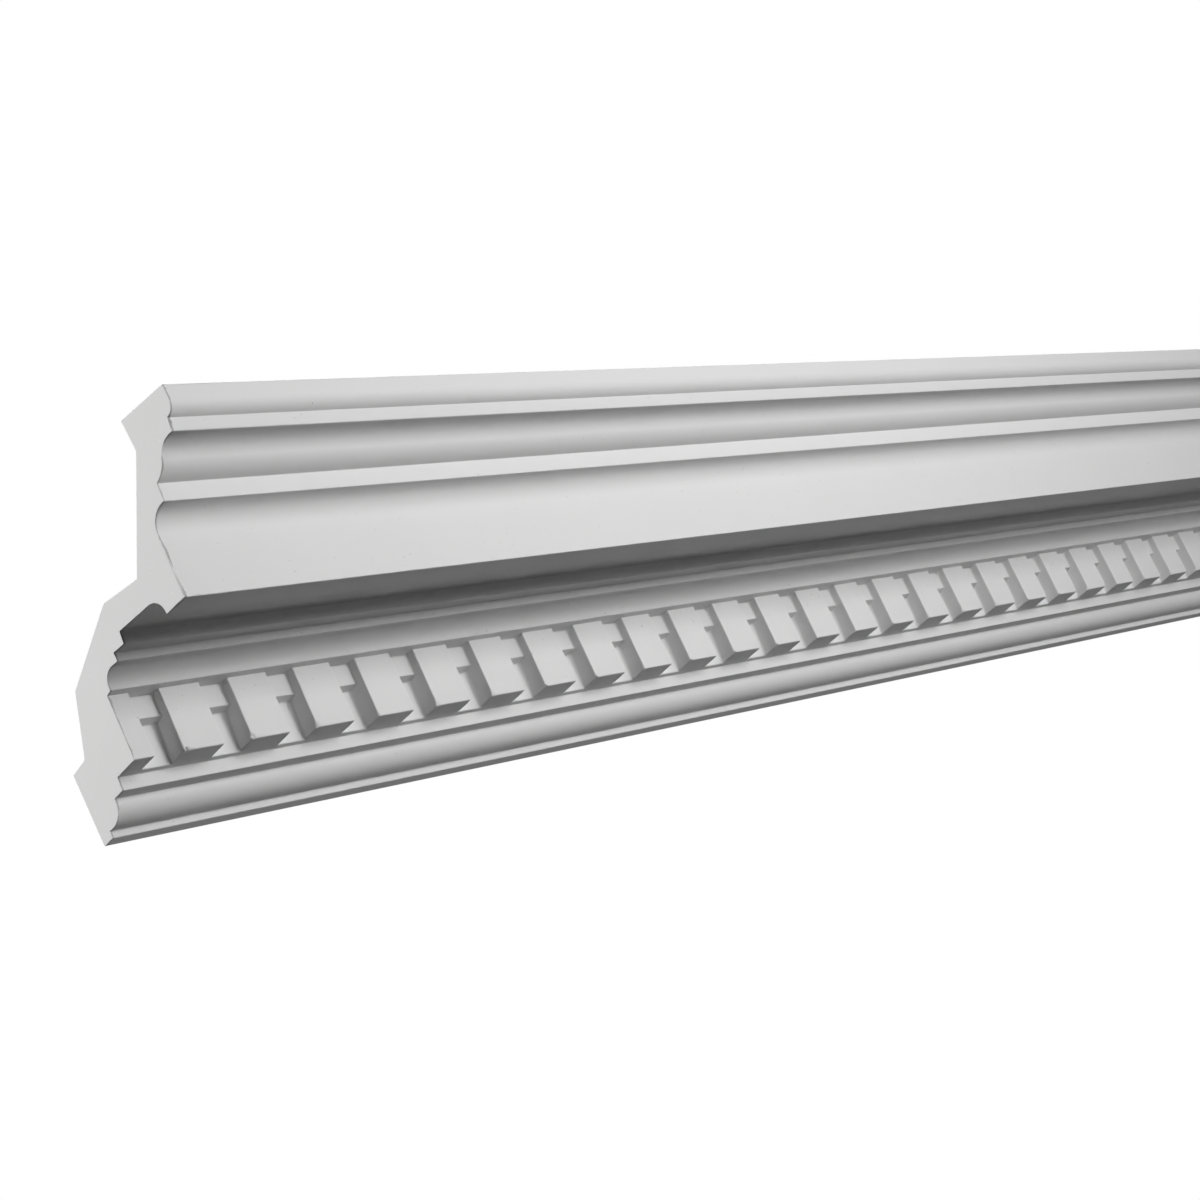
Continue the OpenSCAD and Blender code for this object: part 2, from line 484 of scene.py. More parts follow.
@dataclass(frozen=True)
class DentilBay:
    """One bay of the moulding, from the middle of one dentil to the middle of the next.

    The bridge crosses the top of the recess, and bridge_draft is the slope of its underside in degrees.
    Rows of points run along the bay, each at its own height, and face_columns are the places of a row's
    points on a dentil's face, as shares of the half face that lies before its arris.
    """

    profile: CorniceProfile
    pitch: float = 55.2 * MM
    dentil_w: float = 32.0 * MM
    recess_d: float = 13.5 * MM
    bridge_h: float = 14.7 * MM
    bridge_set_back: float = 6.7 * MM
    bridge_draft: float = 14.0
    front_arris: float = 0.9 * MM
    left_arris: float = 0.7 * MM
    right_arris: float = 0.35 * MM
    under_arris: float = 0.7 * MM
    bridge_arris: float = 0.8 * MM
    bridge_fillet: float = 1.2 * MM
    bridge_side_fillet: float = 1.0 * MM
    bridge_top_fillet: float = 3.4 * MM
    blunt_rise: float = 5.0 * MM
    least_row: float = 0.02 * MM
    face_columns: tuple[float, ...] = (0.0, 0.45, 0.8, 1.0)
    arris_columns: tuple[float, ...] = (0.9 * MM, 0.45 * MM)
    arris_room: float = 1.5 * MM
    curve_steps: int = 5
    corner_steps: int = 4

    def dentil_chain(self) -> list[Point]:
        """Section through a dentil, from the bed fillet to the overhang, each point above the last."""
        p = self.profile
        low = replace(p.dentil_low, radius=self.front_arris)
        corners = [p.bed_low, p.bed_top, low, p.dentil_top, p.quirk_edge]
        return softened(corners, self.corner_steps)[1:-1]

    def recess_chain(self) -> list[Point]:
        """Section through a recess and its bridge, from the bed fillet to the overhang."""
        p, under = self.profile, math.tan(math.radians(self.bridge_draft))
        floor_low_out = p.dentil_face(p.bed_top.up) - self.recess_d
        floor_low_up = p.bed_top.up + (floor_low_out - p.bed_top.out) * p.slope
        bridge_low = p.dentil_top.up - self.bridge_h
        bridge_out = p.dentil_face(bridge_low) - self.bridge_set_back
        floor_out = p.dentil_face(bridge_low) - self.recess_d
        under_rise = (self.recess_d - self.bridge_set_back) * under
        top_out = p.dentil_face(p.dentil_top.up) - self.bridge_set_back
        top_up = p.dentil_top.up - self.bridge_set_back * p.slope
        corners = [
            p.bed_low,
            p.bed_top,
            Corner(floor_low_out, floor_low_up, self.left_arris),
            Corner(floor_out, bridge_low - under_rise, self.bridge_fillet),
            Corner(bridge_out, bridge_low, self.bridge_arris),
            Corner(top_out, top_up, p.inner_r),
            p.quirk_edge,
        ]
        return softened(corners, self.corner_steps)[1:-1]

    def levels(self) -> list[float]:
        """Heights of the rows of the band, so that both sections keep all of their points.

        Returns:
            The heights, rising.
        """
        p, dentil, recess = self.profile, self.dentil_chain(), self.recess_chain()
        foot, top, top_fillet = p.dentil_low.up, p.dentil_top.up, self.bridge_top_fillet
        shared = min(dentil[-1][1], recess[-1][1])
        extra = [foot + share * self.blunt_rise for share in (0.35, 0.55, 0.8, 1.2)]
        extra += [foot - share * p.dentil_out * p.slope for share in (0.25, 0.5, 0.7)]
        extra += [top - share * top_fillet for share in (0.15, 0.4, 0.7, 1.1)]
        found = sorted([up for _, up in dentil + recess] + extra)
        rows = [found[0]]
        for up in found[1:]:
            if up - rows[-1] > self.least_row and up <= shared + 1e-9:
                rows.append(up)
        return rows

    def dentil_front(self, side: float, up: float, arris: float, blunt: float) -> float:
        """Distance out to a dentil's skin.

        Args:
            side: distance from the dentil's middle, without sign.
            up: height over the foot.
            arris: radius of the side arris.
            blunt: extra rounding of that arris at its foot.

        Returns:
            The distance out, before flaws.
        """
        p, half = self.profile, self.dentil_w / 2
        flat = section_at(self.dentil_chain(), up)
        lift = max(up - p.dentil_low.up, 0.0) / self.blunt_rise
        radius = arris + blunt * smooth_step(1.0 - lift)
        into = max(side - (half - radius), 0.0)
        rounded = flat - (radius - math.sqrt(max(radius * radius - into * into, 0.0)))
        into_under = max(side - (half - self.under_arris), 0.0)
        rise = self.under_arris - math.sqrt(max(self.under_arris**2 - into_under**2, 0.0))
        under = p.bed_top.out + (up - p.bed_top.up - rise) / p.slope
        return min(rounded, under) if up < p.dentil_low.up + self.under_arris * 1.5 else rounded

    def half_row(
        self, up: float, fillet: float, arris: float, blunt: float, flaws: Iterable[Flaw]
    ) -> list[Point]:
        """One row from a dentil's middle to the middle of the recess beside it.

        Args:
            up: the row's height over the foot.
            fillet: radius between the dentil's side and the recess floor.
            arris: radius of the side arris.
            blunt: extra rounding of that arris at its foot.
            flaws: lumps and pits on this half of the dentil.

        Returns:
            Points as (distance from the dentil's middle, distance out).
        """
        half, radius = self.dentil_w / 2, arris + blunt
        turns = [math.pi / 2 * k / self.curve_steps for k in range(self.curve_steps + 1)]
        floor = section_at(self.recess_chain(), up)
        sides = [share * (half - radius - self.arris_room) for share in self.face_columns]
        sides += [half - radius - gap for gap in self.arris_columns]
        sides += [half - radius + radius * math.sin(turn) for turn in turns]
        row: list[Point] = []
        for side in sides:
            front = self.dentil_front(side, up, arris, blunt)
            front += sum(flaw.push(side, up) for flaw in flaws)
            row.append((side, max(front, floor)))
        edge = row[-1][1]
        curve = min(fillet, (edge - floor) * 0.8)
        thirds = (0.33, 0.67)
        row += [(half, edge - (edge - floor - curve) * share) for share in thirds]
        for turn in turns:
            row.append((half + curve * (1 - math.cos(turn)), floor + curve * (1 - math.sin(turn))))
        row.append((half + (self.pitch / 2 - half) * 0.6, floor))
        row.append((self.pitch / 2, floor))
        return row

    def leaned(self, row: Sequence[Point], up: float, flare: float) -> list[Point]:
        """Leans a dentil's side out towards its front and its foot.

        Args:
            row: a row from the dentil's middle to the middle of the recess beside it.
            up: the row's height over the foot.
            flare: how far the side's front leans out at the foot.

        Returns:
            The leaned row.
        """
        floor, front, half = row[-1][1], row[0][1], self.dentil_w / 2
        lean = flare * min(1.0, (self.profile.dentil_top.up - up) / self.profile.dentil_h)
        moved: list[Point] = []
        for side, out in row:
            front_share = min(max(out - floor, 0.0) / max(front - floor, MM), 1.0)
            moved.append((side + lean * min(side / half, 1.0) * front_share**2, out))
        return moved

    def row(self, up: float, wear: BayWear) -> list[Point]:
        """One whole row of the bay, from dentil middle to dentil middle.

        Args:
            up: the row's height over the foot.
            wear: how the bay came out of its mould.

        Returns:
            Points as (distance along the bay, distance out).
        """
        below_top = self.profile.dentil_top.up - up
        share = (up - self.profile.bed_top.up) / (self.profile.dentil_h - self.bridge_h)
        fillet = wear.left_fillet + (wear.left_fillet_top - wear.left_fillet) * smooth_step(share)
        if below_top < self.bridge_h:
            reach = 1.3 * self.bridge_top_fillet
            share = 1.0 - below_top / reach
            grown = (self.bridge_top_fillet - self.bridge_side_fillet) * smooth_step(share)
            fillet = self.bridge_side_fillet + grown
        left = self.half_row(up, wear.right_fillet, self.right_arris, wear.right_blunt, ())
        left = self.leaned(left, up, wear.right_flare)
        right = self.half_row(up, fillet, self.left_arris, wear.left_blunt, wear.flaws)
        mirrored = [(self.pitch - side, out) for side, out in reversed(right[:-1])]
        return left + mirrored

    def mesh(self, name: str, wear: BayWear) -> bpy.types.Mesh:
        """Builds the bay's skin, open at both ends.

        Args:
            name: name of the mesh.
            wear: how the bay came out of its mould.

        Returns:
            The mesh, with X from 0 to the pitch.
        """
        foot_z, levels = self.profile.size.foot_z, self.levels()
        verts: list[tuple[float, float, float]] = []
        faces: list[tuple[int, ...]] = []
        rows = [self.row(up, wear) for up in levels]
        columns = len(rows[0])
        for up, row in zip(levels, rows):
            verts += [(along, -out, foot_z + up) for along, out in row]
        for i in range(len(rows) - 1):
            low, high = i * columns, (i + 1) * columns
            faces += [(low + j, low + j + 1, high + j + 1, high + j) for j in range(columns - 1)]
        outline = self.profile.running_outline()
        ring = len(verts)
        for out, up in outline:
            verts += [(share * self.pitch, -out, foot_z + up) for share in (0.0, 0.5, 1.0)]
        for i in range(len(outline) - 1):
            low, high = ring + 3 * i, ring + 3 * (i + 1)
            faces += [(low + j, low + j + 1, high + j + 1, high + j) for j in range(2)]
        top, last = (len(rows) - 1) * columns, ring + 3 * (len(outline) - 1)
        faces.append((*range(top, top + columns), ring + 2, ring + 1, ring))
        faces.append((last, last + 1, last + 2, *range(columns - 1, -1, -1)))
        mesh = bpy.data.meshes.new(name)
        mesh.from_pydata(verts, [], faces)
        mesh.validate()
        return mesh

    def end_outline(self) -> list[Point]:
        """The whole outline where a bay starts, at the middle of a dentil.

        Returns:
            Points as (out, up), from the bed fillet's face up the front and round the back.
        """
        band = [(self.row(up, BayWear())[0][1], up) for up in self.levels()]
        return band + self.profile.running_outline()


def section_at(chain: Sequence[Point], up: float) -> float:
    """Distance out of a rising section at a height.

    Args:
        chain: the section's points as (out, up), each above the last.
        up: the height.

    Returns:
        The distance out.
    """
    if up <= chain[0][1]:
        return chain[0][0]
    for (low_out, low_up), (high_out, high_up) in zip(chain, chain[1:]):
        if up <= high_up:
            share = (up - low_up) / max(high_up - low_up, 1e-12)
            return low_out + (high_out - low_out) * share
    return chain[-1][0]


# ---------------------------------------------------------------------------
# Node trees
# ---------------------------------------------------------------------------


class Tree:
    """A node tree that is being built."""

    def __init__(self, tree: bpy.types.NodeTree) -> None:
        """Keeps the tree."""
        self.tree = tree

    @classmethod
    def of(cls, owner: bpy.types.Material | bpy.types.World) -> "Tree":
        """Starts the tree of a material or a world, with nothing in it."""
        owner.use_nodes = True
        owner.node_tree.nodes.clear()
        return cls(owner.node_tree)

    def socket(self, name: str, kind: str, value: object = None, out: bool = False) -> str:
        """Adds a named socket to the tree's interface.

        Args:
            name: name of the socket.
            kind: its type without the prefix, such as Float.
            value: its default value, if it has one.
            out: True for an output.

        Returns:
            The socket's identifier.
        """
        way = "OUTPUT" if out else "INPUT"
        made = self.tree.interface.new_socket(name=name, in_out=way, socket_type="NodeSocket" + kind)
        if value is not None:
            made.default_value = value
        return made.identifier

    def node(
        self, kind: str, inputs: dict[str | int, object] | None = None, **settings: object
    ) -> bpy.types.Node:
        """Adds a node.

        Args:
            kind: the node's type.
            inputs: for each input a value, or a socket to link from.
            **settings: attributes of the node.

        Returns:
            The node.
        """
        node = self.tree.nodes.new(kind)
        for key, value in settings.items():
            setattr(node, key, value)
        for key, value in (inputs or {}).items():
            self.feed(node.inputs[key], value)
        return node

    def feed(self, target: bpy.types.NodeSocket, value: object) -> None:
        """Links a socket to an input, or sets the input's value.

        Args:
            target: the input.
            value: a socket to link from, or a plain value.
        """
        if isinstance(value, bpy.types.NodeSocket):
            self.tree.links.new(value, target)
        else:
            target.default_value = value

    def math(self, operation: str, *values: object) -> bpy.types.NodeSocket:
        """Adds a Math node and returns its result."""
        node = self.node("ShaderNodeMath", dict(enumerate(values)), operation=operation)
        return node.outputs[0]

    def mixed(
        self, share: object, first: object, second: object, kind: str = "MIX"
    ) -> bpy.types.NodeSocket:
        """Adds a colour Mix node.

        Args:
            share: how much of the second colour.
            first: the first colour.
            second: the second colour.
            kind: how the second is laid on the first.

        Returns:
            The mixed colour.
        """
        inputs = {0: share, 6: first, 7: second}
        return self.node("ShaderNodeMix", inputs, data_type="RGBA", blend_type=kind).outputs[2]

    def noise(self, place: object, scale: object, detail: float) -> bpy.types.NodeSocket:
        """Adds a Noise Texture and returns its value."""
        inputs = {"Vector": place, "Scale": scale, "Detail": detail}
        return self.node("ShaderNodeTexNoise", inputs).outputs[0]

    def ramp(
        self, value: object, low: object, high: object, start: float, end: float, kind: str = "LINEAR"
    ) -> bpy.types.NodeSocket:
        """Adds a Map Range node.

        Args:
            value: what it maps.
            low: the value that gives start.
            high: the value that gives end.
            start: result at low and before it.
            end: result at high and past it.
            kind: how it goes from one to the other.

        Returns:
            The result.
        """
        inputs = {"Value": value, "From Min": low, "From Max": high, "To Min": start, "To Max": end}
        return self.node("ShaderNodeMapRange", inputs, interpolation_type=kind).outputs[0]

    def white_to_camera(self, kind: str, other: bpy.types.NodeSocket) -> bpy.types.NodeSocket:
        """Shows plain white to the camera and another shader to the light.

        Args:
            kind: type of the node that shows white.
            other: the shader that the light meets.

        Returns:
            The mixed shader.
        """
        ray = self.node("ShaderNodeLightPath").outputs["Is Camera Ray"]
        white = self.node(kind, {"Color": WHITE, "Strength": 1.0})
        return self.node("ShaderNodeMixShader", {0: ray, 1: other, 2: white.outputs[0]}).outputs[0]


@dataclass(frozen=True)
class BayRun:
    """Geometry Nodes that set the bays side by side along the moulding."""

    bays: int
    pitch: float
    half_length: float
    trim: float
    first_bays: int = 4
    seed: int = 11
    weld: float = 0.004 * MM

    def tree(self) -> tuple[bpy.types.NodeTree, dict[str, str]]:
        """Builds the tree.

        Returns:
            The tree, and the identifier of each of its inputs by name.
        """
        made = bpy.data.node_groups.new("bay_run", "GeometryNodeTree")
        made.is_modifier = True
        tree = Tree(made)
        tree.socket("Geometry", "Geometry", out=True)
        kinds_of_input = {
            "Cut Ends": "Geometry",
            "Bays": "Int",
            "First Bays": "Int",
            "Pitch": "Float",
            "Half Length": "Float",
            "Trim": "Float",
            "Last Kind": "Int",
            "Seed": "Int",
            "Bay Kinds": "Collection",
            "Skin": "Material",
            "Sawn": "Material",
        }
        ids = {name: tree.socket(name, kind) for name, kind in kinds_of_input.items()}
        given = made.nodes.new("NodeGroupInput").outputs
        whole = tree.node("GeometryNodeJoinGeometry")
        tree.feed(whole.inputs[0], self.row_of_bays(tree, given))
        tree.feed(whole.inputs[0], given["Cut Ends"])
        geometry = whole.outputs[0]
        sawn = {"Material": given["Sawn"], "Selection": self.is_end(tree, given)}
        for kind, inputs in (
            ("GeometryNodeMergeByDistance", {"Distance": self.weld}),
            ("GeometryNodeSetShadeSmooth", {}),
            ("GeometryNodeRealizeInstances", {}),
            ("GeometryNodeSetMaterial", {"Material": given["Skin"]}),
            ("GeometryNodeSetMaterial", sawn),
        ):
            geometry = tree.node(kind, {0: geometry, **inputs}).outputs[0]
        tree.node("NodeGroupOutput", {0: geometry})
        return made, ids

    def row_of_bays(self, tree: Tree, given: bpy.types.bpy_prop_collection) -> bpy.types.NodeSocket:
        """Sets the bays in a row and draws their ends in to the bevels of the cuts.

        Args:
            tree: the tree that is being built.
            given: its inputs.

        Returns:
            The row of bays.
        """
        first = tree.math("MULTIPLY", given["Half Length"], -1.0)
        start = tree.node("ShaderNodeCombineXYZ", {"X": first})
        step = tree.node("ShaderNodeCombineXYZ", {"X": given["Pitch"]})
        line = tree.node(
            "GeometryNodeMeshLine",
            {"Count": given["Bays"], "Start Location": start.outputs[0], "Offset": step.outputs[0]},
        )
        kinds = tree.node(
            "GeometryNodeCollectionInfo",
            {"Collection": given["Bay Kinds"], "Separate Children": True, "Reset Children": True},
        )
        placed = tree.node(
            "GeometryNodeInstanceOnPoints",
            {
                "Points": line.outputs[0],
                "Instance": kinds.outputs[0],
                "Pick Instance": True,
                "Instance Index": self.kind_of_bay(tree, given),
            },
        )
        real = tree.node("GeometryNodeRealizeInstances", {"Geometry": placed.outputs[0]})
        place = tree.node("GeometryNodeInputPosition").outputs[0]
        apart = tree.node("ShaderNodeSeparateXYZ", {"Vector": place}).outputs
        limit = tree.math("SUBTRACT", given["Half Length"], given["Trim"])
        held = tree.math("MAXIMUM", apart[0], tree.math("MULTIPLY", limit, -1.0))
        held = tree.math("MINIMUM", held, limit)
        joined = tree.node("ShaderNodeCombineXYZ", {"X": held, "Y": apart[1], "Z": apart[2]})
        inputs = {"Geometry": real.outputs[0], "Position": joined.outputs[0]}
        return tree.node("GeometryNodeSetPosition", inputs).outputs[0]

    def kind_of_bay(self, tree: Tree, given: bpy.types.bpy_prop_collection) -> bpy.types.NodeSocket:
        """Picks each bay's kind: the first ones in order, the rest at random.

        Args:
            tree: the tree that is being built.
            given: its inputs.

        Returns:
            The number of the kind.
        """
        index = tree.node("GeometryNodeInputIndex").outputs[0]
        drawn = tree.node("FunctionNodeRandomValue", {"Seed": given["Seed"]}, data_type="INT")
        low, high = [s for s in drawn.inputs if s.enabled and s.name in ("Min", "Max")]
        tree.feed(low, given["First Bays"])
        tree.feed(high, given["Last Kind"])
        number = [s for s in drawn.outputs if s.enabled][0]
        early = tree.node("FunctionNodeCompare", data_type="INT", operation="LESS_THAN")
        left, right = [s for s in early.inputs if s.enabled]
        tree.feed(left, index)
        tree.feed(right, given["First Bays"])
        inputs = {"Switch": early.outputs[0], "False": number, "True": index}
        return tree.node("GeometryNodeSwitch", inputs, input_type="INT").outputs[0]

    def is_end(self, tree: Tree, given: bpy.types.bpy_prop_collection) -> bpy.types.NodeSocket:
        """Tells which faces belong to the two cuts.

        Args:
            tree: the tree that is being built.
            given: its inputs.

        Returns:
            True on the cuts and their bevels.
        """
        place = tree.node("GeometryNodeInputPosition").outputs[0]
        far = tree.math("ABSOLUTE", tree.node("ShaderNodeSeparateXYZ", {"Vector": place}).outputs[0])
        limit = tree.math("SUBTRACT", given["Half Length"], given["Trim"])
        into_bevel = 0.3 * self.trim
        return tree.math("GREATER_THAN", far, tree.math("ADD", limit, into_bevel))

    def values(
        self, kinds: bpy.types.Collection, skin: bpy.types.Material, sawn: bpy.types.Material
    ) -> dict[str, object]:
        """Values for the tree's inputs.

        Args:
            kinds: one bay of each kind.
            skin: finish of the moulded surface.
            sawn: finish of the cuts.

        Returns:
            The values, by the inputs' names.
        """
        return {
            "Bays": self.bays,
            "First Bays": self.first_bays,
            "Pitch": self.pitch,
            "Half Length": self.half_length,
            "Trim": self.trim,
            "Last Kind": len(kinds.objects) - 1,
            "Seed": self.seed,
            "Bay Kinds": kinds,
            "Skin": skin,
            "Sawn": sawn,
        }


@dataclass(frozen=True)
class Chip:
    """A chip that the saw left on the arris of a cut.

    Attributes:
        out: distance of its middle from the wall.
        up: height of its middle over the foot.
        reach: radius of the chip.
        depth: how deep it goes.
    """

    out: float
    up: float
    reach: float
    depth: float


@dataclass(frozen=True)
class CutEnds:
    """The two square cuts, each with the slight bevel of a sanded saw cut."""

    bay: DentilBay
    half_length: float
    trim: float = 0.25 * MM
    chips: tuple[Chip, ...] = ()

    def inset(self, outline: Sequence[Point]) -> list[Point]:
        """Draws an outline in by the bevel's width, and further in at the chips.

        Args:
            outline: points of the closed outline, with the body on the left of its run.

        Returns:
            The inner outline.
        """
        inner: list[Point] = []
        count = len(outline)
        for i, (out, up) in enumerate(outline):
            ahead = Vector(outline[(i + 1) % count]) - Vector(outline[i])
            behind = Vector(outline[i]) - Vector(outline[i - 1])
            run = ahead.normalized() + behind.normalized()
            inward = Vector((-run.y, run.x)).normalized()
            width = self.trim
            for chip in self.chips:
                gap = math.hypot(out - chip.out, up - chip.up) / chip.reach
                width += chip.depth * smooth_step(1.0 - gap)
            inner.append((out + inward.x * width, up + inward.y * width))
        return inner

    def mesh(self) -> bpy.types.Mesh:
        """Builds both cuts as one mesh.

        Returns:
            The mesh: a bevel ring and a flat face at each end.
        """
        outline = self.bay.end_outline()
        inner = self.inset(outline)
        foot_z = self.bay.profile.size.foot_z
        count = len(outline)
        verts: list[tuple[float, float, float]] = []
        faces: list[tuple[int, ...]] = []
        for side in Side:
            base = len(verts)
            ring_x = side.value * (self.half_length - self.trim)
            face_x = side.value * self.half_length
            verts += [(ring_x, -out, foot_z + up) for out, up in outline]
            verts += [(face_x, -out, foot_z + up) for out, up in inner]
            for i in range(count):
                j = (i + 1) % count
                quad = (base + i, base + j, base + count + j, base + count + i)
                faces.append(quad if side is Side.LEFT else quad[::-1])
            cap = tuple(range(base + count, base + 2 * count))
            faces.append(cap if side is Side.LEFT else cap[::-1])
        mesh = bpy.data.meshes.new("cut_ends")
        mesh.from_pydata(verts, [], faces)
        mesh.validate()
        return mesh


# ---------------------------------------------------------------------------
# Finishes
# ---------------------------------------------------------------------------


def casting_marks() -> bpy.types.NodeTree:
    """Group that scatters small round marks over a surface, such as pits or bright cells.

    Returns:
        The group, with Vector, Size and Share in, and Marks out.
    """
    made = bpy.data.node_groups.new("casting_marks", "ShaderNodeTree")
    tree = Tree(made)
    tree.socket("Vector", "Vector")
    tree.socket("Size", "Float", MM)
    tree.socket("Share", "Float", 0.1)
    tree.socket("Marks", "Float", out=True)
    given = made.nodes.new("NodeGroupInput").outputs
    # Marks gather in patches some 16 times their own size, and each has a narrow soft edge
    patch_share, patch_lift, top, edge = 0.06, 0.12, 0.93, 0.04
    scale = tree.math("DIVIDE", 0.5, given["Size"])
    noise = tree.noise(given["Vector"], scale, 0.0)
    patches = tree.noise(given["Vector"], tree.math("MULTIPLY", scale, patch_share), 1.0)
    lifted = tree.math("ADD", noise, tree.math("MULTIPLY", patches, patch_lift))
    level = tree.math("SUBTRACT", lifted, patch_lift / 2)
    low = tree.math("SUBTRACT", top, given["Share"])
    marks = tree.ramp(level, low, tree.math("ADD", low, edge), 0.0, 1.0, "SMOOTHSTEP")
    tree.node("NodeGroupOutput", {"Marks": marks})
    return made


def fine_grain() -> bpy.types.NodeTree:
    """Group for the fine grain of a foam surface and the slow drift of its tone.

    Returns:
        The group, with Vector and Size in, and Height and Tone out.
    """
    made = bpy.data.node_groups.new("fine_grain", "ShaderNodeTree")
    tree = Tree(made)
    tree.socket("Vector", "Vector")
    tree.socket("Size", "Float", MM)
    tree.socket("Height", "Float", out=True)
    tree.socket("Tone", "Float", out=True)
    given = made.nodes.new("NodeGroupInput").outputs
    grain = tree.noise(given["Vector"], tree.math("DIVIDE", 1.0, given["Size"]), 3.0)
    drift_scale = 14.0
    drift = tree.noise(given["Vector"], drift_scale, 2.0)
    tree.node("NodeGroupOutput", {"Height": grain, "Tone": drift})
    return made


@dataclass(frozen=True)
class Finish:
    """A foam surface: its colour, sheen, grain and marks.

    Attributes:
        name: name of the material.
        colour: its own colour.
        mark_colour: colour of its marks.
        roughness: how matt it is.
        grain: size of its grain.
        grain_depth: depth of its grain.
        mark_size: size of its marks.
        mark_share: how much of it is marked, from 0 to 0.3.
        mark_depth: depth of its marks, below 0 where they stand proud.
        tone_drift: how much its tone drifts from place to place.
        cut_shade_width: how far from a cut the painted shade of the sawn arris reaches, 0 for none.
        cut_shade_tone: how dark that painted shade is, as a share of the colour.
        cut_crumble: how many more marks there are at a cut.
    """

    name: str
    colour: tuple[float, float, float]
    mark_colour: tuple[float, float, float]
    roughness: float
    grain: float
    grain_depth: float
    mark_size: float
    mark_share: float
    mark_depth: float
    tone_drift: float
    cut_shade_width: float = 0.0
    cut_shade_tone: float = 1.0
    cut_crumble: float = 0.0

    def cut_shade_share(
        self, tree: Tree, place: bpy.types.NodeSocket, from_cut: bpy.types.NodeSocket
    ) -> bpy.types.NodeSocket:
        """Share of painted shade along the arrises of the two cuts, where the rough sawn edge throws a
        fine shadow.

        Args:
            tree: the material's tree.
            place: position on the object.
            from_cut: distance from the nearer cut.

        Returns:
            The share, from 0 to 1.
        """
        # Painted shade: it reaches further in patches and fades out away from the arris.
        patch_scale, unshaded_level, shaded_level = 60.0, 0.36, 0.66
        least, full, most = 0.15 * MM, 0.1 * MM, 2.4 * self.cut_shade_width
        patchy = tree.ramp(tree.noise(place, patch_scale, 3.0), unshaded_level, shaded_level, 0.0, most)
        return tree.ramp(from_cut, tree.math("ADD", patchy, least), full, 0.0, 1.0, "SMOOTHSTEP")

    def material(self, groups: "FoamGroups", half_length: float) -> bpy.types.Material:
        """Builds the finish.

        Args:
            groups: the shader groups that the finishes share.
            half_length: distance from the object's middle to a cut.

        Returns:
            The material.
        """
        made = bpy.data.materials.new(self.name)
        tree = Tree.of(made)
        place = tree.node("ShaderNodeTexCoord").outputs["Object"]
        grain = tree.node("ShaderNodeGroup", node_tree=groups.grain)
        tree.feed(grain.inputs["Vector"], place)
        tree.feed(grain.inputs["Size"], self.grain)
        marks = tree.node("ShaderNodeGroup", node_tree=groups.marks)
        tree.feed(marks.inputs["Vector"], place)
        tree.feed(marks.inputs["Size"], self.mark_size)
        tree.feed(marks.inputs["Share"], self.mark_share)
        tone = tree.ramp(grain.outputs["Tone"], 0.0, 1.0, 1.0 - self.tone_drift, 1.0 + self.tone_drift)
        plain = tree.mixed(1.0, (*self.colour, 1.0), tone, "MULTIPLY")
        colour = tree.mixed(marks.outputs["Marks"], plain, (*self.mark_colour, 1.0))
        if self.cut_shade_width > 0.0:
            along = tree.node("ShaderNodeSeparateXYZ", {"Vector": place}).outputs[0]
            from_cut = tree.math("SUBTRACT", half_length, tree.math("ABSOLUTE", along))
            most = self.mark_share + self.cut_crumble
            crumbled = tree.ramp(from_cut, 0.0, 3.0 * self.cut_shade_width, most, self.mark_share)
            tree.feed(marks.inputs["Share"], crumbled)
            # Painted shade: the colour darkens along the arrises of the two cuts, where the rough sawn
            # edge throws a fine shadow.
            cut_shade_colour = (self.cut_shade_tone, self.cut_shade_tone, self.cut_shade_tone, 1.0)
            colour = tree.mixed(self.cut_shade_share(tree, place, from_cut), colour, cut_shade_colour, "MULTIPLY")
        dip = tree.math("MULTIPLY", marks.outputs["Marks"], -self.mark_depth / self.grain_depth)
        height = tree.math("ADD", grain.outputs["Height"], dip)
        bump = tree.node(
            "ShaderNodeBump", {"Strength": 1.0, "Distance": self.grain_depth, "Height": height}
        )
        shader = tree.node(
            "ShaderNodeBsdfPrincipled",
            {"Base Color": colour, "Roughness": self.roughness, "Normal": bump.outputs[0]},
        )
        tree.node("ShaderNodeOutputMaterial", {"Surface": shader.outputs[0]})
        return made


@dataclass(frozen=True)
class FoamGroups:
    """The shader groups that the finishes share."""

    grain: bpy.types.NodeTree = field(default_factory=fine_grain)
    marks: bpy.types.NodeTree = field(default_factory=casting_marks)


PRIMED_SKIN = Finish(
    name="primed_skin",
    colour=(0.79, 0.789, 0.788),
    mark_colour=(0.45, 0.45, 0.45),
    roughness=0.6,
    grain=0.5 * MM,
    grain_depth=0.012 * MM,
    mark_size=0.7 * MM,
    mark_share=0.08,
    mark_depth=0.1 * MM,
    tone_drift=0.012,
    # Painted shade along the sawn arrises: how far it reaches and how dark it is.
    cut_shade_width=1.1 * MM,
    cut_shade_tone=0.4,
    cut_crumble=0.13,
)
SAWN_FOAM = Finish(
    name="sawn_foam",
    colour=(0.81, 0.805, 0.803),
    mark_colour=(1.0, 1.0, 1.0),
    roughness=0.8,
    grain=0.4 * MM,
    grain_depth=0.05 * MM,
    mark_size=0.6 * MM,
    mark_share=0.14,
    mark_depth=-0.08 * MM,
    tone_drift=0.02,
)


# ---------------------------------------------------------------------------
# The moulding
# ---------------------------------------------------------------------------


